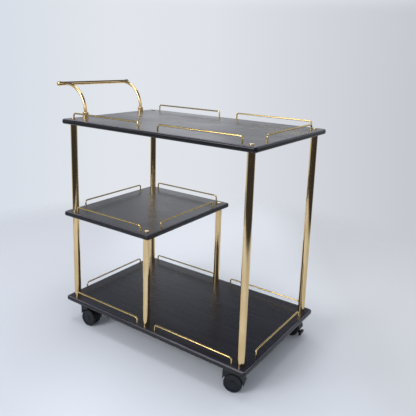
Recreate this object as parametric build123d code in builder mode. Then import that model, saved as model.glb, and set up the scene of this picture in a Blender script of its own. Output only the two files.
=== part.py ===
from build123d import *
from math import asin, cos, degrees, radians, sin
import os

# Tea trolley: three black boards clamped by tie rods between brass tube posts, with brass
# wire gallery rails, a push handle at the left end and four hooded twin-wheel casters.
# Millimetres. The origin is on the floor, in the middle of the overall length and width.
# X runs along the boards, away from the handle end, Y to the back and Z up.

os.makedirs("parts", exist_ok=True)

# Boards
shelf_length = 720.0
shelf_width = 444.0
shelf_thickness = 16.0
shelf_corner_radius = 8.0
shelf_edge_radius = 5.5
middle_shelf_length = 373.0

# Heights between the boards
caster_height = 78.0
lower_bay_height = 290.0
upper_bay_height = 294.0

# Posts: brass tube round a tie rod
post_diameter = 22.0
post_wall = 1.2
post_inset_x = 28.0
post_inset_y = 27.0
tie_rod_diameter = 6.0
bush_length = 8.0

# Cap nuts, nuts and washers on the rods
cap_head_diameter = 14.0
cap_head_height = 2.4
cap_head_rounding = 1.2
cap_barrel_diameter = 9.0
cap_barrel_length = 9.0
cap_bore_depth = 9.5
nut_across_flats = 10.0
nut_height = 5.0
washer_diameter = 18.0
washer_thickness = 1.6
thread_end = 2.0

# Gallery rails: one wire staple, used all round
rail_wire_diameter = 5.0
rail_height = 24.0
rail_bend_radius = 7.5
rail_leg_depth = 10.0
rail_side_inset = 12.5
rail_left_inset = 13.0
rail_right_inset = 15.5
rail_end_margin = 47.0
rail_gap = 72.0
end_rail_margin = 83.5

# How far some rails stand from the regular place along their run, as they were drilled by hand
rail_shift = {
    "middle_rail_front": 6.0,
    "middle_rail_back": -3.0,
    "middle_rail_right": -6.0,
    "bottom_rail_front_left": -4.0,
    "bottom_rail_front_right": -3.0,
    "bottom_rail_back_right": 4.0,
    "bottom_rail_right": 4.0,
}

# Push handle
handle_inset = 16.0
handle_arm_inset = 33.0
handle_arm_diameter = 11.0
handle_bend_radius = 89.0
handle_arm_end = 8.0
handle_bar_diameter = 13.0
handle_bar_wall = 1.2
handle_width = 334.0
handle_cap_diameter = 15.5
handle_cap_length = 13.0
handle_cap_wall = 3.0
handle_cap_rounding = 4.0
collar_diameter = 20.0
collar_height = 16.0
collar_rounding = 1.5

# Casters
caster_inset_left = 67.0
caster_inset_right = 72.0
caster_inset_y = 34.0
caster_trail = 17.5
wheel_diameter = 55.0
wheel_width = 12.5
wheel_edge_radius = 3.0
wheel_rim_width = 6.5
wheel_dish_depth = 1.6
wheel_hub_diameter = 16.0
wheel_core_depth = 7.0
wheel_bore_depth = 9.0
axle_diameter = 6.0
hood_web_thickness = 9.0
hood_wall = 2.4
hood_wheel_gap = 3.2
hood_tail_angle = 3.0
hood_nose_height = 11.0
hood_nose_rounding = 4.0
hood_block_length = 30.0
hood_top_gap = 0.8
boss_diameter = 24.0
brake_pad_length = 7.5
brake_pad_width = 31.0
brake_pad_height = 9.0
brake_pad_rounding = 2.0
brake_pad_foot = 9.0
brake_pad_gap = 2.5
king_pin_diameter = 8.0
king_pin_length = 14.5
plate_size = 42.0
plate_thickness = 2.5
plate_corner_radius = 5.0
screw_spacing = 30.0
screw_diameter = 3.8
screw_head_diameter = 8.0
screw_head_height = 2.4
screw_depth = 11.0

# Clearances
running_clearance = 0.05
side_clearance = 0.5
swivel_gap = 0.3
hole_clearance = 0.5
end_clearance = 0.5

# How far each caster is turned at rest, in degrees about its king pin
caster_turn = {
    "front_left": 3.0,
    "back_left": 8.0,
    "front_right": 18.0,
    "back_right": 5.0,
}

# Levels, from the floor up
bottom_shelf_underside = caster_height
bottom_shelf_top = bottom_shelf_underside + shelf_thickness
middle_shelf_underside = bottom_shelf_top + lower_bay_height
middle_shelf_top = middle_shelf_underside + shelf_thickness
top_shelf_underside = middle_shelf_top + upper_bay_height
top_shelf_top = top_shelf_underside + shelf_thickness

# Along the length: the handle stands out past the boards' left end
handle_reach = handle_bend_radius + handle_arm_end
handle_overhang = handle_reach - handle_inset + handle_cap_diameter / 2
shelf_right = (shelf_length + handle_overhang) / 2
shelf_left = shelf_right - shelf_length
middle_shelf_right = shelf_left + middle_shelf_length
shelf_middle_x = (shelf_left + shelf_right) / 2
middle_shelf_middle_x = (shelf_left + middle_shelf_right) / 2

# The six post columns
post_radius = post_diameter / 2
post_bore_radius = post_radius - post_wall
rod_radius = tie_rod_diameter / 2
front_post_y = -(shelf_width / 2 - post_inset_y)
left_post_x = shelf_left + post_inset_x
middle_post_x = middle_shelf_right - post_inset_x
right_post_x = shelf_right - post_inset_x
left_columns = [(left_post_x, front_post_y), (left_post_x, -front_post_y)]
middle_columns = [(middle_post_x, front_post_y), (middle_post_x, -front_post_y)]
right_columns = [(right_post_x, front_post_y), (right_post_x, -front_post_y)]
all_columns = left_columns + middle_columns + right_columns
tall_columns = left_columns + right_columns

# The handle's two feet, its bar and the casters' swivel axes
arm_x = shelf_left + handle_inset
arm_y = handle_width / 2 - handle_arm_inset
arm_feet = [(arm_x, -arm_y), (arm_x, arm_y)]
bar_x = arm_x - handle_reach
bar_z = top_shelf_top + collar_height + handle_bend_radius
swivel_y = shelf_width / 2 - caster_inset_y
swivels = {
    "front_left": (shelf_left + caster_inset_left, -swivel_y),
    "back_left": (shelf_left + caster_inset_left, swivel_y),
    "front_right": (shelf_right - caster_inset_right, -swivel_y),
    "back_right": (shelf_right - caster_inset_right, swivel_y),
}

# The rails' spans between leg centres: two to a long side, one to a short side
side_rail_span = (shelf_length - rail_gap) / 2 - rail_end_margin
middle_rail_span = middle_shelf_length - 2 * rail_end_margin
end_rail_span = shelf_width - 2 * end_rail_margin

# Where each rail stands: the middle of its run, the way it runs and its span
along_x = (1, 0, 0)
along_y = (0, 1, 0)
side_rail_y = shelf_width / 2 - rail_side_inset
run_offset = (rail_gap + side_rail_span) / 2
left_run_x = shelf_middle_x - run_offset
right_run_x = shelf_middle_x + run_offset
left_end_x = shelf_left + rail_left_inset
right_end_x = shelf_right - rail_right_inset
middle_end_x = middle_shelf_right - rail_right_inset
side_rails = {
    "front_left": (left_run_x, -side_rail_y, along_x, side_rail_span),
    "front_right": (right_run_x, -side_rail_y, along_x, side_rail_span),
    "back_left": (left_run_x, side_rail_y, along_x, side_rail_span),
    "back_right": (right_run_x, side_rail_y, along_x, side_rail_span),
    "right": (right_end_x, 0, along_y, end_rail_span),
}
top_rails = {f"top_rail_{place}": rail for place, rail in side_rails.items()}
bottom_rails = {f"bottom_rail_{place}": rail for place, rail in side_rails.items()}
bottom_rails["bottom_rail_left"] = (left_end_x, 0, along_y, end_rail_span)
middle_rails = {
    "middle_rail_front": (middle_shelf_middle_x, -side_rail_y, along_x, middle_rail_span),
    "middle_rail_back": (middle_shelf_middle_x, side_rail_y, along_x, middle_rail_span),
    "middle_rail_left": (left_end_x, 0, along_y, end_rail_span),
    "middle_rail_right": (middle_end_x, 0, along_y, end_rail_span),
}
for shelf_rails in (top_rails, middle_rails, bottom_rails):
    for name, (x, y, along, span) in shelf_rails.items():
        shift = rail_shift.get(name, 0)
        shelf_rails[name] = (x + shift * along[0], y + shift * along[1], along, span)


def save(piece, name):
    """Label a finished piece and write it to its own file."""
    piece.label = name
    export_step(piece, f"parts/{name}.step")


def leg_points(rails, level):
    """The points where the rails' legs enter a board's top face."""
    points = []
    for x, y, along, span in rails.values():
        for side in (-span / 2, span / 2):
            points.append((x + side * along[0], y + side * along[1], level))
    return points


def at_level(points, level):
    """Plan points lifted to one height."""
    return [(x, y, level) for x, y in points]


def make_board(name, left, length, underside, rails, rod_holes, barrel_holes, pilot_holes=()):
    """A board with rounded corners and edges, drilled for rods, cap nuts, rails and screws."""
    top = underside + shelf_thickness
    with BuildPart() as board:
        with BuildSketch(Plane.XY.offset(underside)):
            with Locations((left + length / 2, 0)):
                RectangleRounded(length, shelf_width, shelf_corner_radius)
        extrude(amount=shelf_thickness)
        rims = board.faces().sort_by(Axis.Z)[0].edges() + board.faces().sort_by(Axis.Z)[-1].edges()
        fillet(rims, radius=shelf_edge_radius)
        with Locations(*at_level(rod_holes, top)):
            Hole(radius=rod_radius + hole_clearance)
        if barrel_holes:
            with Locations(*at_level(barrel_holes, top)):
                Hole(radius=cap_barrel_diameter / 2 + running_clearance)
        with Locations(*leg_points(rails, top)):
            Hole(
                radius=rail_wire_diameter / 2 + running_clearance,
                depth=rail_leg_depth + end_clearance,
            )
        if pilot_holes:
            with Locations(*[Plane((x, y, underside), z_dir=(0, 0, -1)) for x, y in pilot_holes]):
                Hole(
                    radius=screw_diameter / 2 + running_clearance,
                    depth=screw_depth + end_clearance,
                )
    save(board.part, name)


def make_post(name, column, foot, length):
    """A straight length of round tube, square at both ends."""
    with BuildPart() as post:
        with BuildSketch(Plane.XY.offset(foot)):
            with Locations(column):
                Circle(post_radius)
                Circle(post_bore_radius, mode=Mode.SUBTRACT)
        extrude(amount=length)
    save(post.part, name)


def make_rail(name, rail, level):
    """A wire staple: a run between two bends, on legs that are let into the board."""
    x, y, along, span = rail
    upright = Plane((x, y, level), x_dir=along, z_dir=Vector(*along).cross(Vector(0, 0, 1)))
    with BuildPart() as wire:
        with BuildLine(upright) as run:
            FilletPolyline(
                (-span / 2, -rail_leg_depth),
                (-span / 2, rail_height),
                (span / 2, rail_height),
                (span / 2, -rail_leg_depth),
                radius=rail_bend_radius,
            )
        with BuildSketch(run.line ^ 0):
            Circle(rail_wire_diameter / 2)
        sweep()
    save(wire.part, name)


def screw_points(x, y):
    """The four screw places of a mounting plate."""
    half = screw_spacing / 2
    return [(x + i * half, y + j * half) for i in (-1, 1) for j in (-1, 1)]


# Boards
all_pilot_holes = [point for x, y in swivels.values() for point in screw_points(x, y)]
make_board(
    "top_shelf", shelf_left, shelf_length, top_shelf_underside, top_rails, arm_feet, tall_columns
)
make_board(
    "middle_shelf",
    shelf_left,
    middle_shelf_length,
    middle_shelf_underside,
    middle_rails,
    left_columns,
    middle_columns,
)
make_board(
    "bottom_shelf",
    shelf_left,
    shelf_length,
    bottom_shelf_underside,
    bottom_rails,
    all_columns,
    [],
    all_pilot_holes,
)

# Posts, front and back
tall_post_length = top_shelf_underside - bottom_shelf_top
for index, side in enumerate(("front", "back")):
    make_post(f"{side}_left_lower_post", left_columns[index], bottom_shelf_top, lower_bay_height)
    make_post(f"{side}_left_upper_post", left_columns[index], middle_shelf_top, upper_bay_height)
    make_post(f"{side}_middle_post", middle_columns[index], bottom_shelf_top, lower_bay_height)
    make_post(f"{side}_right_post", right_columns[index], bottom_shelf_top, tall_post_length)

# Rails
for rails, level in (
    (top_rails, top_shelf_top),
    (middle_rails, middle_shelf_top),
    (bottom_rails, bottom_shelf_top),
):
    for name, rail in rails.items():
        make_rail(name, rail, level)

# Tie rods, from below the bottom nuts up into the cap nuts
rod_foot = bottom_shelf_underside - washer_thickness - nut_height - thread_end
rod_rise = cap_bore_depth - cap_barrel_length - end_clearance
rod_sets = [
    (tall_columns, top_shelf_top + rod_rise),
    (middle_columns, middle_shelf_top + rod_rise),
]
with BuildPart() as tie_rods:
    for columns, rod_top in rod_sets:
        with BuildSketch(Plane.XY.offset(rod_foot)):
            with Locations(*columns):
                Circle(rod_radius)
        extrude(amount=rod_top - rod_foot)
save(tie_rods.part, "tie_rods")

# Cap nuts: a low round head on the board and a barrel in it, bored from below
with BuildPart() as cap_nuts:
    for columns, level in ((tall_columns, top_shelf_top), (middle_columns, middle_shelf_top)):
        with BuildSketch(Plane.XY.offset(level)):
            with Locations(*columns):
                Circle(cap_head_diameter / 2)
        extrude(amount=cap_head_height)
        fillet(cap_nuts.edges(Select.LAST).group_by(Axis.Z)[-1], radius=cap_head_rounding)
        with BuildSketch(Plane.XY.offset(level - cap_barrel_length)):
            with Locations(*columns):
                Circle(cap_barrel_diameter / 2)
        extrude(amount=cap_barrel_length)
        with BuildSketch(Plane.XY.offset(level - cap_barrel_length)):
            with Locations(*columns):
                Circle(rod_radius + running_clearance)
        extrude(amount=cap_bore_depth, mode=Mode.SUBTRACT)
save(cap_nuts.part, "cap_nuts")

# Washers and nuts, under the bottom board and under the handle's feet
clamp_seats = [(all_columns, bottom_shelf_underside), (arm_feet, top_shelf_underside)]
with BuildPart() as clamp_washers:
    for columns, level in clamp_seats:
        with BuildSketch(Plane.XY.offset(level - washer_thickness)):
            with Locations(*columns):
                Circle(washer_diameter / 2)
                Circle(rod_radius + running_clearance, mode=Mode.SUBTRACT)
        extrude(amount=washer_thickness)
save(clamp_washers.part, "clamp_washers")

with BuildPart() as clamp_nuts:
    for columns, level in clamp_seats:
        with BuildSketch(Plane.XY.offset(level - washer_thickness - nut_height)):
            with Locations(*columns):
                RegularPolygon(nut_across_flats / 2, side_count=6, major_radius=False)
                Circle(rod_radius + running_clearance, mode=Mode.SUBTRACT)
        extrude(amount=nut_height)
save(clamp_nuts.part, "clamp_nuts")

# Centring bushes, flush in both ends of every tube
bush_seats = [
    (all_columns, bottom_shelf_top),
    (left_columns + middle_columns, middle_shelf_underside - bush_length),
    (left_columns, middle_shelf_top),
    (tall_columns, top_shelf_underside - bush_length),
]
with BuildPart() as centring_bushes:
    for columns, level in bush_seats:
        with BuildSketch(Plane.XY.offset(level)):
            with Locations(*columns):
                Circle(post_bore_radius - running_clearance)
                Circle(rod_radius + running_clearance, mode=Mode.SUBTRACT)
        extrude(amount=bush_length)
save(centring_bushes.part, "centring_bushes")

# Handle bar: a tube across the trolley
bar_length = handle_width - 2 * handle_cap_wall
with BuildPart() as handle_bar:
    with BuildSketch(Plane.XZ):
        with Locations((bar_x, bar_z)):
            Circle(handle_bar_diameter / 2)
            Circle(handle_bar_diameter / 2 - handle_bar_wall, mode=Mode.SUBTRACT)
    extrude(amount=bar_length / 2, both=True)
save(handle_bar.part, "handle_bar")

# Arms: up from the board, over in a quarter turn and coped to the bar, with a threaded stud
stud_length = shelf_thickness + washer_thickness + nut_height + thread_end
for side, (foot_x, foot_y) in zip(("front", "back"), arm_feet):
    with BuildPart() as arm:
        with BuildLine() as bend:
            FilletPolyline(
                (foot_x, foot_y, top_shelf_top),
                (foot_x, foot_y, bar_z),
                (bar_x, foot_y, bar_z),
                radius=handle_bend_radius,
            )
        with BuildSketch(bend.line ^ 0):
            Circle(handle_arm_diameter / 2)
        sweep()
        with BuildSketch(Plane.XZ.offset(-foot_y)):
            with Locations((bar_x, bar_z)):
                Circle(handle_bar_diameter / 2 + running_clearance)
        extrude(amount=handle_arm_diameter, both=True, mode=Mode.SUBTRACT)
        with BuildSketch(Plane.XY.offset(top_shelf_top - stud_length)):
            with Locations((foot_x, foot_y)):
                Circle(rod_radius)
        extrude(amount=stud_length)
    save(arm.part, f"handle_{side}_arm")

    with BuildPart() as collar:
        with BuildSketch(Plane.XY.offset(top_shelf_top)):
            with Locations((foot_x, foot_y)):
                Circle(collar_diameter / 2)
        extrude(amount=collar_height)
        fillet(collar.faces().sort_by(Axis.Z)[-1].edges(), radius=collar_rounding)
        with Locations((foot_x, foot_y, top_shelf_top + collar_height)):
            Hole(radius=handle_arm_diameter / 2 + running_clearance)
    save(collar.part, f"handle_{side}_collar")

# End caps: rounded, sleeved over the bar's ends
for side, outward in (("front", -1), ("back", 1)):
    mouth = Plane(
        (bar_x, outward * (handle_width / 2 - handle_cap_length), bar_z),
        x_dir=(1, 0, 0),
        z_dir=(0, outward, 0),
    )
    with BuildPart() as end_cap:
        with BuildSketch(mouth):
            Circle(handle_cap_diameter / 2)
        extrude(amount=handle_cap_length)
        fillet(
            end_cap.faces().sort_by(Axis.Y)[-1 if outward > 0 else 0].edges(),
            radius=handle_cap_rounding,
        )
        with BuildSketch(mouth):
            Circle(handle_bar_diameter / 2 + running_clearance)
        extrude(amount=handle_cap_length - handle_cap_wall, mode=Mode.SUBTRACT)
    save(end_cap.part, f"handle_{side}_cap")

# One caster, swivelling about Z with its wheels trailing towards +X
wheel_radius = wheel_diameter / 2
axle_z = wheel_radius
axle_radius = axle_diameter / 2
hood_inner_radius = wheel_radius + hood_wheel_gap
hood_outer_radius = hood_inner_radius + hood_wall
wheel_inner_y = hood_web_thickness / 2 + side_clearance
hood_half_width = wheel_inner_y + wheel_width
plate_underside = caster_height - plate_thickness
boss_top = plate_underside - swivel_gap
hood_top = plate_underside - screw_head_height - hood_top_gap
nose_z = axle_z + hood_nose_height
nose_angle = 180 - degrees(asin(hood_nose_height / hood_outer_radius))
nose_x = caster_trail + hood_outer_radius * cos(radians(nose_angle))
hub_radius = wheel_hub_diameter / 2


def hood_ring(radius, angle):
    """The point at an angle on a ring about the axle, in the caster's XZ plane."""
    return (
        caster_trail + radius * cos(radians(angle)),
        axle_z + radius * sin(radians(angle)),
    )


# Hood: a fender over both wheels with an upright nose block, a web between the wheels that
# holds the axle, and a swivel boss
with BuildPart() as hood:
    with BuildSketch(Plane.XZ):
        with BuildLine():
            Line(
                hood_ring(hood_inner_radius, hood_tail_angle),
                hood_ring(hood_outer_radius, hood_tail_angle),
            )
            CenterArc(
                (caster_trail, axle_z),
                hood_outer_radius,
                hood_tail_angle,
                nose_angle - hood_tail_angle,
            )
            Line(
                hood_ring(hood_outer_radius, nose_angle),
                hood_ring(hood_inner_radius, nose_angle),
            )
            CenterArc(
                (caster_trail, axle_z),
                hood_inner_radius,
                hood_tail_angle,
                nose_angle - hood_tail_angle,
            )
        make_face()
        with Locations((nose_x, nose_z)):
            Rectangle(hood_block_length, hood_top - nose_z, align=(Align.MIN, Align.MIN))
    extrude(amount=hood_half_width, both=True)
    fillet(hood.edges().filter_by(Axis.Z).group_by(Axis.X)[0], radius=hood_nose_rounding)
    with BuildSketch(Plane.XY.offset(nose_z)):
        Circle(boss_diameter / 2)
    extrude(amount=boss_top - nose_z)
    with BuildSketch(Plane.XZ):
        with Locations((caster_trail, axle_z)):
            Circle(hood_inner_radius)
    extrude(amount=hood_half_width, both=True, mode=Mode.SUBTRACT)
    with BuildSketch(Plane.XZ):
        with BuildLine():
            lead = CenterArc(
                (caster_trail, axle_z),
                hood_outer_radius - hood_wall / 2,
                hood_tail_angle,
                nose_angle - hood_tail_angle,
            )
            Polyline(
                lead @ 1,
                (caster_trail - hub_radius, axle_z),
                (caster_trail, axle_z - hub_radius),
                (caster_trail + hub_radius, axle_z),
                lead @ 0,
            )
        make_face()
    extrude(amount=hood_web_thickness / 2, both=True)
    with BuildSketch(Plane.XZ):
        with Locations((caster_trail, axle_z)):
            Circle(axle_radius + running_clearance)
    extrude(amount=hood_half_width, both=True, mode=Mode.SUBTRACT)
    with Locations((0, 0, boss_top)):
        Hole(
            radius=king_pin_diameter / 2 + running_clearance,
            depth=king_pin_length - swivel_gap + end_clearance,
        )

# The back casters' hood: the same moulding with a brake pad behind the wheels, on a stem that
# leaves the web between them
brake_pad_x = caster_trail + wheel_radius + brake_pad_gap
with BuildPart() as braked_hood:
    add(hood.part)
    with BuildSketch(Plane.XZ):
        with Locations((brake_pad_x, brake_pad_foot)):
            Rectangle(brake_pad_length, brake_pad_height, align=(Align.MIN, Align.MIN))
    brake_pad = extrude(amount=brake_pad_width / 2, both=True)
    fillet(
        brake_pad.edges().filter_by(Axis.Y).group_by(Axis.X)[-1],
        radius=brake_pad_rounding,
    )
    with BuildSketch(Plane.XZ):
        with BuildLine():
            Polyline(
                (caster_trail + hub_radius, axle_z),
                (brake_pad_x + brake_pad_length / 2, brake_pad_foot + brake_pad_height),
                (brake_pad_x + brake_pad_length / 2, brake_pad_foot),
                (caster_trail, axle_z - hub_radius),
                close=True,
            )
        make_face()
        with Locations((caster_trail, axle_z)):
            Circle(axle_radius + running_clearance, mode=Mode.SUBTRACT)
    extrude(amount=hood_web_thickness / 2, both=True)

# Mounting plate with the king pin fast in it
with BuildPart() as plate:
    with BuildSketch(Plane.XY.offset(plate_underside)):
        RectangleRounded(plate_size, plate_size, plate_corner_radius)
        with Locations(*screw_points(0, 0)):
            Circle(screw_diameter / 2 + hole_clearance, mode=Mode.SUBTRACT)
    extrude(amount=plate_thickness)
    with BuildSketch(Plane.XY.offset(plate_underside - king_pin_length)):
        Circle(king_pin_diameter / 2)
    extrude(amount=king_pin_length)

# Axle pin through the web, into a blind bore in each wheel
axle_half_length = wheel_inner_y + wheel_bore_depth - end_clearance
with BuildPart() as axle:
    with BuildSketch(Plane.XZ):
        with Locations((caster_trail, axle_z)):
            Circle(axle_radius)
    extrude(amount=axle_half_length, both=True)

# Wheel: a rounded tread, a dished outer face with a raised hub and rim, and a cored inner face.
# The profile runs from the axle outwards in radius, and from the inner face outwards in Y.
outer_face = wheel_inner_y + wheel_width
rim_radius = wheel_radius - wheel_rim_width
with BuildPart() as wheel:
    with BuildSketch(Plane((caster_trail, 0, axle_z), x_dir=(0, 0, 1), z_dir=(1, 0, 0))):
        with BuildLine():
            Polyline(
                (0, outer_face),
                (hub_radius, outer_face),
                (hub_radius, outer_face - wheel_dish_depth),
                (rim_radius, outer_face - wheel_dish_depth),
                (rim_radius, outer_face),
                (wheel_radius, outer_face),
                (wheel_radius, wheel_inner_y),
                (rim_radius, wheel_inner_y),
                (rim_radius, wheel_inner_y + wheel_core_depth),
                (hub_radius, wheel_inner_y + wheel_core_depth),
                (hub_radius, wheel_inner_y),
                (axle_radius + running_clearance, wheel_inner_y),
                (axle_radius + running_clearance, wheel_inner_y + wheel_bore_depth),
                (0, wheel_inner_y + wheel_bore_depth),
                close=True,
            )
        make_face()
    revolve(axis=Axis((caster_trail, 0, axle_z), (0, 1, 0)))
    treads = wheel.edges().filter_by(GeomType.CIRCLE).group_by(lambda rim: round(rim.radius, 3))[-1]
    fillet(treads, radius=wheel_edge_radius)

# Casters in their places: the plate square to the boards, and the rest turned on the king pin
for place, (x, y) in swivels.items():
    turned = Location((x, y, 0), (0, 0, caster_turn[place]))
    save(plate.part.moved(Location((x, y, 0))), f"{place}_caster_plate")
    shell = braked_hood if place.startswith("back") else hood
    save(shell.part.moved(turned), f"{place}_caster_hood")
    save(axle.part.moved(turned), f"{place}_caster_axle")
    save(wheel.part.moved(turned), f"{place}_caster_inner_wheel")
    save(mirror(wheel.part, about=Plane.XZ).moved(turned), f"{place}_caster_outer_wheel")

# Wood screws up through the plates
with BuildPart() as caster_screws:
    with BuildSketch(Plane.XY.offset(plate_underside - screw_head_height)):
        with Locations(*all_pilot_holes):
            Circle(screw_head_diameter / 2)
    extrude(amount=screw_head_height)
    with BuildSketch(Plane.XY.offset(plate_underside)):
        with Locations(*all_pilot_holes):
            Circle(screw_diameter / 2)
    extrude(amount=plate_thickness + screw_depth)
save(caster_screws.part, "caster_screws")
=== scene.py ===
import math

import bpy
from mathutils import Matrix, Vector


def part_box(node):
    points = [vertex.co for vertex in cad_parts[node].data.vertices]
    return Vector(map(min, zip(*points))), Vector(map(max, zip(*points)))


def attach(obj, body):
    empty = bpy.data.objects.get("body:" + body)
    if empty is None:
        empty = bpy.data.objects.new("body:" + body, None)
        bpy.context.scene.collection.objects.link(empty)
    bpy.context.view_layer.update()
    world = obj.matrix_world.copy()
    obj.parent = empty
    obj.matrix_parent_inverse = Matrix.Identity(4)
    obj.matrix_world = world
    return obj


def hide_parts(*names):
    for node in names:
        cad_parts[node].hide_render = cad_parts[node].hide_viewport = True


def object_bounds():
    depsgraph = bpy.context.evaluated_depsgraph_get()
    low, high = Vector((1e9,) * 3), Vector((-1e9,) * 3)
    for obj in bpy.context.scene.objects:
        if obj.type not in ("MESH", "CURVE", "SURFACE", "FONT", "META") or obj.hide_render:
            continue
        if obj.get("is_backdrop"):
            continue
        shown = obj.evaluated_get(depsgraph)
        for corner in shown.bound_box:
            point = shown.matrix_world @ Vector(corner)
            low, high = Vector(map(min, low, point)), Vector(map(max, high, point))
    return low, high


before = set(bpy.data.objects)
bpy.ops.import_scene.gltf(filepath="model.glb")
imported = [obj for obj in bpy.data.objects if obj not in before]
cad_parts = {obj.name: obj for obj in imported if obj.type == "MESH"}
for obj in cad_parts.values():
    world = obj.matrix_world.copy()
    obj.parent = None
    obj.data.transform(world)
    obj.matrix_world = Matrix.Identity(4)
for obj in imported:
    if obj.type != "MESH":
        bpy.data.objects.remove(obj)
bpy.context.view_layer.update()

MM = 0.001
PHOTO_PIXELS = 416  # the photo's width and height
LACQUER_IOR = 1.48
NYLON_IOR = 1.45


def colour(text):
    """The linear colour of an sRGB hex value."""
    parts = [int(text[i : i + 2], 16) / 255 for i in (1, 3, 5)]
    return [c / 12.92 if c <= 0.04045 else ((c + 0.055) / 1.055) ** 2.4 for c in parts] + [1.0]


def per_mm(*sizes):
    """The scale that makes one unit of a pattern as long as these sizes in millimetres."""
    return [1 / (size * MM) for size in sizes]


def add(tree, kind, sockets=None, **settings):
    """Adds a node; sockets maps an input to a value or to the output that feeds it."""
    node = tree.nodes.new(kind)
    for name, value in settings.items():
        setattr(node, name, value)
    for name, value in (sockets or {}).items():
        if isinstance(value, bpy.types.NodeSocket):
            tree.links.new(value, node.inputs[name])
        else:
            node.inputs[name].default_value = value
    return node


def blank(name):
    """A new material with a bare Principled shader: (material, tree, shader)."""
    made = bpy.data.materials.new(name)
    made.use_nodes = True
    tree = made.node_tree
    tree.nodes.clear()
    shader = add(tree, "ShaderNodeBsdfPrincipled")
    add(tree, "ShaderNodeOutputMaterial", {"Surface": shader.outputs["BSDF"]})
    return made, tree, shader


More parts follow.
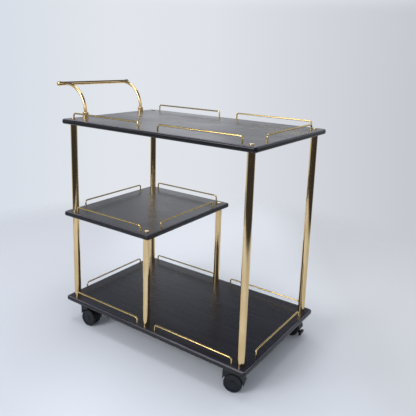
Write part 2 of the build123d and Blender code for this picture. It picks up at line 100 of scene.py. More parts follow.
def black_stained_ash():
    """Ash veneer on board, stained black and sprayed with a satin lacquer. The open grain
    runs along the shelf and stays visible as fine pores and paler streaks. The board's
    sides are painted near black as painted shade, and along the arrises a thin paler
    line is a painted highlight, stronger on the upper arris."""
    made, tree, shader = blank("black_stained_ash")
    place = add(tree, "ShaderNodeTexCoord")
    where = place.outputs["Object"]
    # Growth rings about 5 mm apart, long along the board.
    ring_place = add(tree, "ShaderNodeMapping", {"Vector": where, "Scale": per_mm(230, 5, 5)})
    rings = add(
        tree,
        "ShaderNodeTexNoise",
        {"Vector": ring_place.outputs[0], "Scale": 1.0, "Detail": 4.0, "Roughness": 0.62},
    )
    ring = add(
        tree,
        "ShaderNodeMapRange",
        {"Value": rings.outputs["Fac"], "From Min": 0.40, "From Max": 0.64},
    ).outputs["Result"]
    # Pores are 0.3 mm wide, drawn 1.1 mm to show.
    pore_place = add(tree, "ShaderNodeMapping", {"Vector": where, "Scale": per_mm(30, 1.1, 1.1)})
    pores = add(
        tree,
        "ShaderNodeTexNoise",
        {"Vector": pore_place.outputs[0], "Scale": 1.0, "Detail": 2.0, "Roughness": 0.7},
    ).outputs["Fac"]
    filled = add(
        tree,
        "ShaderNodeMapRange",
        {"Value": pores, "From Min": 0.35, "From Max": 0.65, "To Min": 0.4, "To Max": 1.0},
    )
    # The staining and the lacquer took unevenly, in patches as wide as a hand.
    patch_place = add(tree, "ShaderNodeMapping", {"Vector": where, "Scale": per_mm(190, 120, 120)})
    patches = add(tree, "ShaderNodeTexNoise", {"Vector": patch_place.outputs[0], "Scale": 1.0})
    grain = add(
        tree,
        "ShaderNodeMath",
        {0: ring, 1: filled.outputs["Result"]},
        operation="MULTIPLY",
    ).outputs[0]
    face = add(
        tree,
        "ShaderNodeMix",
        {"Factor": grain, 6: colour("#0e0c12"), 7: colour("#312f37")},
        data_type="RGBA",
    ).outputs[2]
    # How far a face looks up or down: 1 on the board's faces, 0 on the board's sides.
    upward = add(tree, "ShaderNodeSeparateXYZ", {0: place.outputs["Normal"]}).outputs["Z"]
    level = add(tree, "ShaderNodeMath", {0: upward}, operation="ABSOLUTE").outputs[0]
    flat = add(
        tree,
        "ShaderNodeMapRange",
        {"Value": level, "From Min": 0.95, "From Max": 0.995},
    ).outputs["Result"]
    # The sides are painted near black (#08070a): painted shade where the faces look sideways.
    grain_and_side_shade = add(
        tree,
        "ShaderNodeMix",
        {"Factor": flat, 6: colour("#08070a"), 7: face},
        data_type="RGBA",
    ).outputs[2]
    # The arris is the rounded strip between the two.
    above = add(tree, "ShaderNodeMapRange", {"Value": level, "From Min": 0.66, "From Max": 0.82})
    below = add(tree, "ShaderNodeMapRange", {"Value": level, "From Min": 0.985, "From Max": 0.93})
    arris = add(
        tree,
        "ShaderNodeMath",
        {0: above.outputs["Result"], 1: below.outputs["Result"]},
        operation="MULTIPLY",
    ).outputs[0]
    # Random patches set how strong the painted arris highlight is.
    highlight_patches = add(
        tree,
        "ShaderNodeMapRange",
        {
            "Value": patches.outputs["Fac"],
            "From Min": 0.35,
            "From Max": 0.6,
            "To Min": 0.5,
            "To Max": 1.0,
        },
    )
    # The painted highlight is stronger on the upper arris than on the lower one.
    highlight_upper_share = add(
        tree,
        "ShaderNodeMapRange",
        {"Value": upward, "From Min": -0.1, "From Max": 0.1, "To Min": 0.3, "To Max": 1.0},
    )
    highlight_strength = add(
        tree,
        "ShaderNodeMath",
        {0: highlight_patches.outputs["Result"], 1: highlight_upper_share.outputs["Result"]},
        operation="MULTIPLY",
    )
    wear_and_highlight = add(
        tree,
        "ShaderNodeMath",
        {0: arris, 1: highlight_strength.outputs[0]},
        operation="MULTIPLY",
    ).outputs[0]
    # The arris is painted paler (#747280): a painted highlight along the rounded strip.
    tint = add(
        tree,
        "ShaderNodeMix",
        {"Factor": wear_and_highlight, 6: grain_and_side_shade, 7: colour("#747280")},
        data_type="RGBA",
    ).outputs[2]
    tree.links.new(tint, shader.inputs["Base Color"])
    # The lacquer is a little rougher over open pores.
    satin = add(
        tree,
        "ShaderNodeMapRange",
        {"Value": pores, "From Min": 0.3, "From Max": 0.7, "To Min": 0.31, "To Max": 0.25},
    )
    uneven = add(
        tree,
        "ShaderNodeMapRange",
        {
            "Value": patches.outputs["Fac"],
            "From Min": 0.3,
            "From Max": 0.7,
            "To Min": -0.02,
            "To Max": 0.03,
        },
    )
    gloss = add(
        tree,
        "ShaderNodeMath",
        {0: satin.outputs["Result"], 1: uneven.outputs["Result"]},
        operation="ADD",
    )
    tree.links.new(gloss.outputs[0], shader.inputs["Roughness"])
    shader.inputs["IOR"].default_value = LACQUER_IOR
    # Rings and pores are felt through the lacquer, the rings a little more.
    relief = add(tree, "ShaderNodeMath", {0: ring, 1: 1.2, 2: pores}, operation="MULTIPLY_ADD")
    bump = add(
        tree,
        "ShaderNodeBump",
        {"Height": relief.outputs[0], "Strength": 0.06, "Distance": 0.08 * MM},
    )
    tree.links.new(bump.outputs["Normal"], shader.inputs["Normal"])
    return made


def polished_brass(name, base, warm, roughness, relief_mm):
    """Brass, buffed bright and clear lacquered. Drawing and buffing leave a very faint
    relief, as long in x, y and z as relief_mm says: lines along a post, and ripples in
    bent wire. The lacquer has yellowed a little in cloudy patches."""
    made, tree, shader = blank(name)
    where = add(tree, "ShaderNodeTexCoord").outputs["Object"]
    # Lacquer patches, a thumb wide.
    patch_place = add(tree, "ShaderNodeMapping", {"Vector": where, "Scale": per_mm(24, 24, 60)})
    patches = add(
        tree,
        "ShaderNodeTexNoise",
        {"Vector": patch_place.outputs[0], "Scale": 1.0, "Detail": 3.0},
    ).outputs["Fac"]
    relief_place = add(tree, "ShaderNodeMapping", {"Vector": where, "Scale": per_mm(*relief_mm)})
    relief = add(tree, "ShaderNodeTexNoise", {"Vector": relief_place.outputs[0], "Scale": 1.0})
    aged = add(tree, "ShaderNodeMapRange", {"Value": patches, "From Min": 0.35, "From Max": 0.65})
    tint = add(
        tree,
        "ShaderNodeMix",
        {"Factor": aged.outputs["Result"], 6: colour(base), 7: colour(warm)},
        data_type="RGBA",
    )
    tree.links.new(tint.outputs[2], shader.inputs["Base Color"])
    shader.inputs["Metallic"].default_value = 1.0
    gloss = add(
        tree,
        "ShaderNodeMapRange",
        {
            "Value": patches,
            "From Min": 0.3,
            "From Max": 0.7,
            "To Min": roughness * 0.8,
            "To Max": roughness * 1.3,
        },
    )
    tree.links.new(gloss.outputs["Result"], shader.inputs["Roughness"])
    bump = add(
        tree,
        "ShaderNodeBump",
        {"Height": relief.outputs["Fac"], "Strength": 0.02, "Distance": 0.01 * MM},
    )
    tree.links.new(bump.outputs["Normal"], shader.inputs["Normal"])
    return made


def zinc_plated_steel():
    """Pressed and threaded steel, bright zinc plated: a cool pale grey metal with
    a faint crystalline patchiness."""
    made, tree, shader = blank("zinc_plated_steel")
    where = add(tree, "ShaderNodeTexCoord").outputs["Object"]
    # Zinc crystals, 3.5 mm across.
    crystal_place = add(
        tree,
        "ShaderNodeMapping",
        {"Vector": where, "Scale": per_mm(3.5, 3.5, 3.5)},
    )
    crystals = add(
        tree,
        "ShaderNodeTexNoise",
        {"Vector": crystal_place.outputs[0], "Scale": 1.0, "Detail": 3.0},
    ).outputs["Fac"]
    spangle = add(
        tree,
        "ShaderNodeMapRange",
        {"Value": crystals, "From Min": 0.35, "From Max": 0.65},
    )
    tint = add(
        tree,
        "ShaderNodeMix",
        {"Factor": spangle.outputs["Result"], 6: colour("#9a9ea3"), 7: colour("#c3c6c9")},
        data_type="RGBA",
    )
    tree.links.new(tint.outputs[2], shader.inputs["Base Color"])
    shader.inputs["Metallic"].default_value = 1.0
    gloss = add(
        tree,
        "ShaderNodeMapRange",
        {"Value": crystals, "From Min": 0.3, "From Max": 0.7, "To Min": 0.28, "To Max": 0.42},
    )
    tree.links.new(gloss.outputs["Result"], shader.inputs["Roughness"])
    return made


def moulded_nylon(name, base, wear_and_highlight, roughness, grit_mm):
    """Injection moulded nylon with a fine spark-eroded texture, slightly greyed
    where it wears."""
    made, tree, shader = blank(name)
    where = add(tree, "ShaderNodeTexCoord").outputs["Object"]
    # The mould's texture, drawn coarse enough to show.
    grit_place = add(
        tree,
        "ShaderNodeMapping",
        {"Vector": where, "Scale": per_mm(grit_mm, grit_mm, grit_mm)},
    )
    grit = add(
        tree,
        "ShaderNodeTexNoise",
        {"Vector": grit_place.outputs[0], "Scale": 1.0},
    ).outputs["Fac"]
    # Flow patches in the moulding, 14 mm wide.
    flow_place = add(tree, "ShaderNodeMapping", {"Vector": where, "Scale": per_mm(14, 14, 14)})
    flow = add(tree, "ShaderNodeTexNoise", {"Vector": flow_place.outputs[0], "Scale": 1.0})
    greyed = add(
        tree,
        "ShaderNodeMapRange",
        {"Value": flow.outputs["Fac"], "From Min": 0.35, "From Max": 0.7},
    )
    tint = add(
        tree,
        "ShaderNodeMix",
        {"Factor": greyed.outputs["Result"], 6: colour(base), 7: colour(wear_and_highlight)},
        data_type="RGBA",
    )
    tree.links.new(tint.outputs[2], shader.inputs["Base Color"])
    gloss = add(
        tree,
        "ShaderNodeMapRange",
        {
            "Value": grit,
            "From Min": 0.3,
            "From Max": 0.7,
            "To Min": roughness - 0.05,
            "To Max": roughness + 0.08,
        },
    )
    tree.links.new(gloss.outputs["Result"], shader.inputs["Roughness"])
    shader.inputs["IOR"].default_value = NYLON_IOR
    bump = add(tree, "ShaderNodeBump", {"Height": grit, "Strength": 0.15, "Distance": 0.05 * MM})
    tree.links.new(bump.outputs["Normal"], shader.inputs["Normal"])
    return made


wood = black_stained_ash()
brass_tube = polished_brass(
    "polished_brass_tube",
    base="#e8cd9c",
    warm="#ddbf8c",
    roughness=0.07,
    relief_mm=(0.5, 0.5, 60),
)
brass_wire = polished_brass(
    "polished_brass_wire",
    base="#e2c98c",
    warm="#d6b675",
    roughness=0.19,
    relief_mm=(4, 4, 4),
)
# The handle's brass is a little paler than the tube's: painted light for the bar's dim top.
brass_handle = polished_brass(
    "polished_brass_handle",
    base="#efd19a",
    warm="#e2bf84",
    roughness=0.17,
    relief_mm=(4, 4, 4),
)
zinc = zinc_plated_steel()
hood_nylon = moulded_nylon(
    "moulded_black_nylon",
    base="#07090d",
    wear_and_highlight="#0e1318",
    roughness=0.45,
    grit_mm=0.5,
)
wheel_nylon = moulded_nylon(
    "moulded_wheel_nylon",
    base="#060a10",
    wear_and_highlight="#0d141d",
    roughness=0.55,
    grit_mm=0.7,
)
natural_nylon = moulded_nylon(
    "natural_nylon",
    base="#d6d3c8",
    wear_and_highlight="#c8c4b6",
    roughness=0.45,
    grit_mm=0.5,
)

# The first of these words in a node's name gives its finish. The rest is brass tube.
FINISH_BY_WORD = {
    "rail": brass_wire,
    "handle": brass_handle,
    "shelf": wood,
    "hood": hood_nylon,
    "wheel": wheel_nylon,
    "bush": natural_nylon,
    "rod": zinc,
    "washer": zinc,
    "clamp": zinc,
    "plate": zinc,
    "screw": zinc,
    "axle": zinc,
}
for name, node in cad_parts.items():
    finish = next((made for word, made in FINISH_BY_WORD.items() if word in name), brass_tube)
    node.data.materials.clear()
    node.data.materials.append(finish)


def empty_form(name, inputs):
    """A geometry tree with these named inputs: (tree, its inputs' outputs, their identifiers)."""
    tree = bpy.data.node_groups.new(name, "GeometryNodeTree")
    tree.interface.new_socket("Geometry", in_out="INPUT", socket_type="NodeSocketGeometry")
    keys = {}
    for label, kind in inputs.items():
        made = tree.interface.new_socket(label, in_out="INPUT", socket_type="NodeSocket" + kind)
        keys[label] = made.identifier
    tree.interface.new_socket("Geometry", in_out="OUTPUT", socket_type="NodeSocketGeometry")
    return tree, add(tree, "NodeGroupInput").outputs, keys


def grown(name, start, tree, keys, values):
    """The plain mesh piece that a geometry tree makes from a start mesh and these values."""
    piece = bpy.data.objects.new(name, start)
    bpy.context.scene.collection.objects.link(piece)
    form = piece.modifiers.new("form", "NODES")
    form.node_group = tree
    for label, value in values.items():
        form[keys[label]] = value
    ready = piece.evaluated_get(bpy.context.evaluated_depsgraph_get())
    mesh = bpy.data.meshes.new_from_object(ready)
    mesh.materials.clear()
    mesh.materials.append(values["Finish"])
    mesh.polygons.foreach_set("material_index", [0] * len(mesh.polygons))
    piece.modifiers.clear()
    piece.data = mesh
    mesh.name = name
    return piece


def gallery_wire_form():
    """A gallery wire: one length, bent up out of the board, along and down again."""
    tree, given, keys = empty_form(
        "gallery_wire",
        {
            "Span": "Float",
            "Rise": "Float",
            "Let In": "Float",
            "Wire Radius": "Float",
            "Bend Radius": "Float",
            "Along": "Vector",
            "Place": "Vector",
            "Finish": "Material",
        },
    )
    # Four corners in a row: foot, shoulder, shoulder, foot.
    index = add(tree, "GeometryNodeInputIndex").outputs["Index"]
    past_middle = add(
        tree,
        "ShaderNodeMath",
        {0: index, 1: 1.5},
        operation="GREATER_THAN",
    ).outputs[0]
    side = add(tree, "ShaderNodeMath", {0: past_middle, 1: 0.5}, operation="SUBTRACT").outputs[0]
    reach = add(
        tree,
        "ShaderNodeMath",
        {0: side, 1: given["Span"]},
        operation="MULTIPLY",
    ).outputs[0]
    from_middle = add(tree, "ShaderNodeMath", {0: index, 1: 1.5}, operation="SUBTRACT").outputs[0]
    apart = add(tree, "ShaderNodeMath", {0: from_middle}, operation="ABSOLUTE").outputs[0]
    is_foot = add(tree, "ShaderNodeMath", {0: apart, 1: 1.0}, operation="GREATER_THAN").outputs[0]
    leg = add(
        tree,
        "ShaderNodeMath",
        {0: given["Rise"], 1: given["Let In"]},
        operation="ADD",
    ).outputs[0]
    drop = add(tree, "ShaderNodeMath", {0: is_foot, 1: leg}, operation="MULTIPLY").outputs[0]
    height = add(
        tree,
        "ShaderNodeMath",
        {0: given["Rise"], 1: drop},
        operation="SUBTRACT",
    ).outputs[0]
    sideways = add(
        tree,
        "ShaderNodeVectorMath",
        {0: given["Along"], "Scale": reach},
        operation="SCALE",
    ).outputs[0]
    upright = add(tree, "ShaderNodeCombineXYZ", {"Z": height}).outputs[0]
    corner = add(
        tree,
        "ShaderNodeVectorMath",
        {0: sideways, 1: upright},
        operation="ADD",
    ).outputs[0]
    placed = add(
        tree,
        "ShaderNodeVectorMath",
        {0: corner, 1: given["Place"]},
        operation="ADD",
    ).outputs[0]
    corners = add(tree, "GeometryNodeMeshLine", {"Count": 4})
    bent = add(
        tree,
        "GeometryNodeSetPosition",
        {"Geometry": corners.outputs[0], "Position": placed},
    )
    line = add(tree, "GeometryNodeMeshToCurve", {"Mesh": bent.outputs[0]})
    rounded = add(
        tree,
        "GeometryNodeFilletCurve",
        {"Curve": line.outputs[0], "Count": 9, "Radius": given["Bend Radius"]},
        mode="POLY",
    )
    section = add(
        tree,
        "GeometryNodeCurvePrimitiveCircle",
        {"Resolution": 20, "Radius": given["Wire Radius"]},
    )
    drawn = add(
        tree,
        "GeometryNodeCurveToMesh",
        {"Curve": rounded.outputs[0], "Profile Curve": section.outputs[0], "Fill Caps": True},
    )
    smooth = add(tree, "GeometryNodeSetShadeSmooth", {"Geometry": drawn.outputs[0]})
    real = add(tree, "GeometryNodeRealizeInstances", {"Geometry": smooth.outputs[0]})
    finished = add(
        tree,
        "GeometryNodeSetMaterial",
        {"Geometry": real.outputs[0], "Material": given["Finish"]},
    )
    add(tree, "NodeGroupOutput", {"Geometry": finished.outputs[0]})
    return tree, keys


WIRE_RADIUS = 2.5 * MM
WIRE_RISE = 20.5 * MM  # wire centre above the board, from the photo
WIRE_LET_IN = 10.0 * MM  # each leg stands this deep in the board
WIRE_BEND = 7.5 * MM

wire_tree, wire_keys = gallery_wire_form()
for name in [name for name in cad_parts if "rail" in name]:
    low, high = (Vector(corner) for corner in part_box(name))
    along = Vector((1, 0, 0)) if high.x - low.x > high.y - low.y else Vector((0, 1, 0))
    middle = (low + high) / 2
    middle.z = low.z + WIRE_LET_IN
    wire = grown(
        "wire_" + name,
        bpy.data.meshes.new("start"),
        wire_tree,
        wire_keys,
        {
            "Span": (high - low).dot(along) - 2 * WIRE_RADIUS,
            "Rise": WIRE_RISE,
            "Let In": WIRE_LET_IN,
            "Wire Radius": WIRE_RADIUS,
            "Bend Radius": WIRE_BEND,
            "Along": along,
            "Place": middle,
            "Finish": brass_wire,
        },
    )
    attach(wire, "trolley")
    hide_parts(name)


def cross_head_screw_form():
    """Pan-head wood screws driven up into the board, one at each point of the start
    mesh, each stopped at its own turn: a domed head with a cross recess, and a shank
    that tapers to a point."""
    tree, given, keys = empty_form(
        "cross_head_screws",
        {
            "Head Radius": "Float",
            "Head Height": "Float",
            "Dome Share": "Float",
            "Dome Power": "Float",
            "Recess Length": "Float",
            "Recess Width": "Float",
            "Recess Depth": "Float",
            "Shank Radius": "Float",
            "Shank Length": "Float",
            "Point Radius": "Float",
            "Finish": "Material",
        },
    )
    # The head hangs from z = 0 down to the head height.
    head = add(
        tree,
        "GeometryNodeMeshCylinder",
        {
            "Vertices": 32,
            "Side Segments": 1,
            "Fill Segments": 5,
            "Radius": given["Head Radius"],
            "Depth": given["Head Height"],
        },
        fill_type="TRIANGLE_FAN",
    )
    where = add(tree, "GeometryNodeInputPosition").outputs[0]
    level = add(
        tree,
        "ShaderNodeVectorMath",
        {0: where, 1: (1, 1, 0)},
        operation="MULTIPLY",
    ).outputs[0]
    out = add(tree, "ShaderNodeVectorMath", {0: level}, operation="LENGTH").outputs["Value"]
    share = add(
        tree,
        "ShaderNodeMath",
        {0: out, 1: given["Head Radius"]},
        operation="DIVIDE",
    ).outputs[0]
    steep = add(
        tree,
        "ShaderNodeMath",
        {0: share, 1: given["Dome Power"]},
        operation="POWER",
    ).outputs[0]
    fall = add(
        tree,
        "ShaderNodeMath",
        {0: steep, 1: given["Head Height"]},
        operation="MULTIPLY",
    ).outputs[0]
    lift = add(
        tree,
        "ShaderNodeMath",
        {0: fall, 1: given["Dome Share"]},
        operation="MULTIPLY",
    ).outputs[0]
    raised = add(tree, "ShaderNodeCombineXYZ", {"Z": lift}).outputs[0]
    height = add(tree, "ShaderNodeSeparateXYZ", {0: where}).outputs["Z"]
    exposed = add(
        tree,
        "FunctionNodeCompare",
        {0: height, 1: 0.0},
        data_type="FLOAT",
        operation="LESS_THAN",
    )
    domed = add(
        tree,
        "GeometryNodeSetPosition",
        {"Geometry": head.outputs["Mesh"], "Selection": exposed.outputs[0], "Offset": raised},
    )
    # Two crossing slots cut up into the dome.
    half = add(
        tree,
        "ShaderNodeMath",
        {0: given["Head Height"], 1: -0.5},
        operation="MULTIPLY",
    ).outputs[0]
    slot_place = add(tree, "ShaderNodeCombineXYZ", {"Z": half}).outputs[0]
    slots = []
    for labels in (("Recess Length", "Recess Width"), ("Recess Width", "Recess Length")):
        double = add(
            tree,
            "ShaderNodeMath",
            {0: given["Recess Depth"], 1: 2.0},
            operation="MULTIPLY",
        )
        size = add(
            tree,
            "ShaderNodeCombineXYZ",
            {"X": given[labels[0]], "Y": given[labels[1]], "Z": double.outputs[0]},
        )
        block = add(tree, "GeometryNodeMeshCube", {"Size": size.outputs[0]})
        placed = add(
            tree,
            "GeometryNodeTransform",
            {"Geometry": block.outputs["Mesh"], "Translation": slot_place},
        )
        slots.append(placed.outputs[0])
    cut = add(
        tree,
        "GeometryNodeMeshBoolean",
        {"Mesh 1": domed.outputs[0]},
        operation="DIFFERENCE",
        solver="EXACT",
    )
    for slot in slots:
        tree.links.new(slot, cut.inputs["Mesh 2"])
    hang = add(tree, "ShaderNodeCombineXYZ", {"Z": half}).outputs[0]
    hung = add(
        tree,
        "GeometryNodeTransform",
        {"Geometry": cut.outputs["Mesh"], "Translation": hang},
    )
    shank = add(
        tree,
        "GeometryNodeMeshCone",
        {
            "Vertices": 20,
            "Side Segments": 6,
            "Radius Top": given["Point Radius"],
            "Radius Bottom": given["Shank Radius"],
            "Depth": given["Shank Length"],
        },
        fill_type="TRIANGLE_FAN",
    )
    both = add(tree, "GeometryNodeJoinGeometry")
    tree.links.new(hung.outputs[0], both.inputs[0])
    tree.links.new(shank.outputs["Mesh"], both.inputs[0])
    sites = add(tree, "NodeGroupInput").outputs["Geometry"]
    turn = add(
        tree,
        "FunctionNodeRandomValue",
        {"Min": (0, 0, 0), "Max": (0, 0, math.pi / 2), "Seed": 4},
        data_type="FLOAT_VECTOR",
    )
    driven = add(
        tree,
        "GeometryNodeInstanceOnPoints",
        {"Points": sites, "Instance": both.outputs[0], "Rotation": turn.outputs[0]},
    )
    real = add(tree, "GeometryNodeRealizeInstances", {"Geometry": driven.outputs[0]})
    finished = add(
        tree,
        "GeometryNodeSetMaterial",
        {"Geometry": real.outputs[0], "Material": given["Finish"]},
    )
    add(tree, "NodeGroupOutput", {"Geometry": finished.outputs[0]})
    return tree, keys


SCREW_SPACING = 15.0 * MM  # from the king pin, along and across the trolley
PLATE_UNDERSIDE = 75.5 * MM  # above the floor; the heads bear on it

sites = []
for name in [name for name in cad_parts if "plate" in name]:
    low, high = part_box(name)
    for along in (-SCREW_SPACING, SCREW_SPACING):
        for across in (-SCREW_SPACING, SCREW_SPACING):
            site = ((low[0] + high[0]) / 2 + along, (low[1] + high[1]) / 2 + across)
            sites.append((*site, PLATE_UNDERSIDE))
screw_sites = bpy.data.meshes.new("screw_sites")
screw_sites.from_pydata(sites, [], [])
screw_tree, screw_keys = cross_head_screw_form()
screws = grown(
    "cross_head_screws",
    screw_sites,
    screw_tree,
    screw_keys,
    {
        "Head Radius": 4.0 * MM,
        "Head Height": 2.4 * MM,
        "Dome Share": 0.6,
        "Dome Power": 2.6,
        "Recess Length": 4.2 * MM,
        "Recess Width": 0.9 * MM,
        "Recess Depth": 1.3 * MM,
        "Shank Radius": 1.9 * MM,
        "Shank Length": 13.5 * MM,
        "Point Radius": 0.3 * MM,
        "Finish": zinc,
    },
)
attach(screws, "trolley")
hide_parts("caster_screws")


FLOOR_RADIUS = 4.0
FLOOR_SIDES = 96
FLOOR_FADE = (1.25, 1.7)  # metres from the trolley, where the floor melts into the sweep


def pale_floor():
    """A disc of pale painted floor, lit like the sweep behind it, that fades into it."""
    turns = [2 * math.pi * side / FLOOR_SIDES for side in range(FLOOR_SIDES)]
    rim = [(FLOOR_RADIUS * math.cos(turn), FLOOR_RADIUS * math.sin(turn), 0.0) for turn in turns]
    mesh = bpy.data.meshes.new("floor")
    mesh.from_pydata(rim, [], [list(range(FLOOR_SIDES))])
    floor = bpy.data.objects.new("floor", mesh)
    bpy.context.scene.collection.objects.link(floor)
    made, tree, shader = blank("pale_floor_paint")
    place = add(tree, "ShaderNodeTexCoord").outputs["Object"]
    # Painted lighter towards the back of the room: painted light.
    backward = add(
        tree,
        "ShaderNodeVectorMath",
        {0: place, 1: (0.2, 0.98, 0.0)},
        operation="DOT_PRODUCT",
    )
    side = add(
        tree,
        "ShaderNodeMapRange",
        {"Value": backward.outputs["Value"], "From Min": -1.0, "From Max": 0.8},
    )
    tint = add(
        tree,
        "ShaderNodeMix",
        {"Factor": side.outputs["Result"], 6: colour("#dce2eb"), 7: colour("#f0f2f6")},
        data_type="RGBA",
    )
    # Painted a little darker to the left and right of where the trolley stands: painted shade.
    beside = add(
        tree,
        "ShaderNodeVectorMath",
        {0: place, 1: (0.82, 0.57, 0.0)},
        operation="DOT_PRODUCT",
    )
    spot = add(
        tree,
        "ShaderNodeMapRange",
        {"Value": beside.outputs["Value"], "From Min": -0.5, "From Max": 0.7},
    )
    painted_floor_shade = add(tree, "ShaderNodeValToRGB", {"Fac": spot.outputs["Result"]})
    painted_floor_shade.color_ramp.interpolation = "EASE"
    painted_floor_shade.color_ramp.elements[0].color = colour("#efeeee")
    painted_floor_shade.color_ramp.elements[1].color = colour("#eeedeb")
    painted_floor_shade.color_ramp.elements.new(0.28).color = colour("#ffffff")
    painted_floor_shade.color_ramp.elements.new(0.76).color = colour("#ffffff")
    paint = add(
        tree,
        "ShaderNodeMix",
        {"Factor": 1.0, 6: tint.outputs[2], 7: painted_floor_shade.outputs["Color"]},
        data_type="RGBA",
        blend_type="MULTIPLY",
    )
    tree.links.new(paint.outputs[2], shader.inputs["Base Color"])
    shader.inputs["Roughness"].default_value = 0.8
    shader.inputs["Specular IOR Level"].default_value = 0.1
    distance = add(tree, "ShaderNodeVectorMath", {0: place}, operation="LENGTH").outputs["Value"]
    fade = add(
        tree,
        "ShaderNodeMapRange",
        {"Value": distance, "From Min": FLOOR_FADE[0], "From Max": FLOOR_FADE[1]},
        interpolation_type="SMOOTHSTEP",
    )
    clear = add(tree, "ShaderNodeBsdfTransparent")
    mixed = add(
        tree,
        "ShaderNodeMixShader",
        {0: fade.outputs["Result"], 1: shader.outputs["BSDF"], 2: clear.outputs["BSDF"]},
    )
    output = next(n for n in tree.nodes if n.type == "OUTPUT_MATERIAL")
    tree.links.new(mixed.outputs["Shader"], output.inputs["Surface"])
    mesh.materials.append(made)
    floor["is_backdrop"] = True


def pale_room():
    """The room: a pale blue-grey sweep, a little warmer to the right, brightest just above
    the camera's view and dim overhead. On the camera's side a dim stretch of floor lies
    beyond the lit one, which gives the brass its dark streaks."""
    world = bpy.data.worlds.new("pale_room")
    world.use_nodes = True
    tree = world.node_tree
    tree.nodes.clear()
    direction = add(tree, "ShaderNodeTexCoord").outputs["Generated"]
    height = add(tree, "ShaderNodeSeparateXYZ", {0: direction}).outputs["Z"]
    across = add(
        tree,
        "ShaderNodeVectorMath",
        {0: direction, 1: (0.82, 0.57, 0.0)},
        operation="DOT_PRODUCT",
    )
    side = add(
        tree,
        "ShaderNodeMapRange",
        {"Value": across.outputs["Value"], "From Min": -0.37, "From Max": 0.37},
    )
    ramp = add(tree, "ShaderNodeValToRGB", {"Fac": side.outputs["Result"]})
    ramp.color_ramp.elements[0].color = colour("#d9dfe8")
    ramp.color_ramp.elements[1].color = colour("#c7c9d0")
    ramp.color_ramp.elements.new(0.26).color = colour("#e2e6ec")
    ramp.color_ramp.elements.new(0.5).color = colour("#dfe3e9")
    glow = add(
        tree,
        "ShaderNodeMapRange",
        {"Value": height, "From Min": 0.08, "From Max": 0.17, "To Max": 1.0},
        interpolation_type="SMOOTHSTEP",
    )
    wall = add(
        tree,
        "ShaderNodeMix",
        {"Factor": glow.outputs["Result"], 6: ramp.outputs["Color"], 7: colour("#f6f9ff")},
        data_type="RGBA",
    )
    lift = add(
        tree,
        "ShaderNodeMapRange",
        {"Value": height, "From Min": 0.19, "From Max": 0.55},
        interpolation_type="SMOOTHSTEP",
    )
    roofed = add(
        tree,
        "ShaderNodeMix",
        {"Factor": lift.outputs["Result"], 6: wall.outputs[2], 7: colour("#454f64")},
        data_type="RGBA",
    )
    towards = add(
        tree,
        "ShaderNodeVectorMath",
        {0: direction, 1: (0.75, -0.66, 0.0)},
        operation="DOT_PRODUCT",
    )
    near = add(
        tree,
        "ShaderNodeMapRange",
        {"Value": towards.outputs["Value"], "From Min": -0.75, "From Max": 0.1},
        interpolation_type="SMOOTHSTEP",
    )
    low = add(
        tree,
        "ShaderNodeMapRange",
        {"Value": height, "From Min": -0.02, "From Max": -0.14},
        interpolation_type="SMOOTHSTEP",
    )
    dim = add(
        tree,
        "ShaderNodeMath",
        {0: near.outputs["Result"], 1: low.outputs["Result"]},
        operation="MULTIPLY",
    )
    room = add(
        tree,
        "ShaderNodeMix",
        {"Factor": dim.outputs[0], 6: roofed.outputs[2], 7: colour("#3a3b42")},
        data_type="RGBA",
    )
    seen = add(tree, "ShaderNodeBackground", {"Color": room.outputs[2], "Strength": 1.0})
    # What falls on matt surfaces is an even light, and what the eye and the gloss see is the room.
    soft = add(tree, "ShaderNodeBackground", {"Color": colour("#edf2fa"), "Strength": 0.66})
    path = add(tree, "ShaderNodeLightPath").outputs
    mirrored = add(
        tree,
        "ShaderNodeMath",
        {0: path["Is Glossy Ray"], 1: path["Is Transmission Ray"]},
        operation="MAXIMUM",
    )
    shown = add(
        tree,
        "ShaderNodeMath",
        {0: path["Is Camera Ray"], 1: mirrored.outputs[0]},
        operation="MAXIMUM",
    )
    both = add(
        tree,
        "ShaderNodeMixShader",
        {0: shown.outputs[0], 1: soft.outputs["Background"], 2: seen.outputs["Background"]},
    )
    add(tree, "ShaderNodeOutputWorld", {"Surface": both.outputs["Shader"]})
    bpy.context.scene.world = world


def soft_lamp(name, place, target, size, power, tone):
    """A square softbox at place, turned towards target: size in metres, power in watts."""
    lamp = bpy.data.lights.new(name, "AREA")
    lamp.shape, lamp.size, lamp.energy, lamp.color = "SQUARE", size, power, colour(tone)[:3]
    holder = bpy.data.objects.new(name, lamp)
    bpy.context.scene.collection.objects.link(holder)
    holder.location = place
    holder.rotation_euler = (Vector(target) - Vector(place)).to_track_quat("-Z", "Y").to_euler()


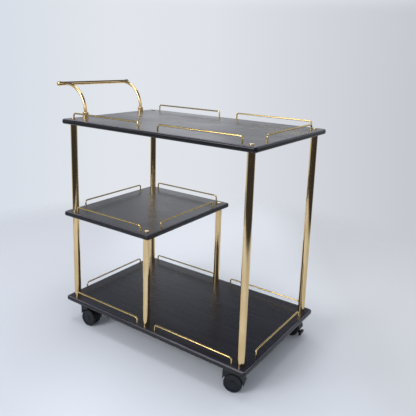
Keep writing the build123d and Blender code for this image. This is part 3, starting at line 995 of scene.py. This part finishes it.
CAMERA_PLACE = Vector((0.98808, -1.26864, 0.92551))
CAMERA_YAW = -0.60529  # radians from the +Y axis, towards +X
CAMERA_PITCH = 0.21140  # radians below level
CAMERA_ROLL = -0.03168
FOCAL_PIXELS = 501.09  # the focal length, in pixels of the photo
AXIS_ROW = 162.28  # the row of the photo that the lens's axis meets
SENSOR_WIDTH = 36.0  # in the lens's own millimetres


def camera():
    """Stands at the front right, above the handle, and looks a little down."""
    ahead = Vector(
        (
            math.cos(CAMERA_PITCH) * math.sin(CAMERA_YAW),
            math.cos(CAMERA_PITCH) * math.cos(CAMERA_YAW),
            -math.sin(CAMERA_PITCH),
        )
    )
    right = Vector((math.cos(CAMERA_YAW), -math.sin(CAMERA_YAW), 0.0))
    down = ahead.cross(right)
    across = right * math.cos(CAMERA_ROLL) + down * math.sin(CAMERA_ROLL)
    below = down * math.cos(CAMERA_ROLL) - right * math.sin(CAMERA_ROLL)
    lens = bpy.data.cameras.new("camera")
    lens.sensor_width = SENSOR_WIDTH
    lens.lens = FOCAL_PIXELS / PHOTO_PIXELS * SENSOR_WIDTH
    lens.shift_y = (AXIS_ROW - PHOTO_PIXELS / 2) / PHOTO_PIXELS
    lens.clip_start, lens.clip_end = 0.05, 60.0
    holder = bpy.data.objects.new("camera", lens)
    bpy.context.scene.collection.objects.link(holder)
    turned = Matrix((across, -below, -ahead)).transposed().to_4x4()
    holder.matrix_world = Matrix.Translation(CAMERA_PLACE) @ turned
    bpy.context.scene.camera = holder


pale_floor()
pale_room()
soft_lamp(
    "overhead_softbox",
    place=(-0.1, 0.0, 3.1),
    target=(0.0, 0.0, 0.3),
    size=1.7,
    power=29.0,
    tone="#ffffff",
)
soft_lamp(
    "back_softbox",
    place=(-4.6, 5.9, 2.75),
    target=(0.0, 0.0, 0.7),
    size=1.6,
    power=5.0,
    tone="#f6f9ff",
)
soft_lamp(
    "front_softbox",
    place=(-0.7, -2.4, 1.5),
    target=(0.1, -0.1, 0.1),
    size=1.3,
    power=34.0,
    tone="#fdfcff",
)
camera()
bpy.context.scene.view_settings.view_transform = "Standard"

low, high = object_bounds()
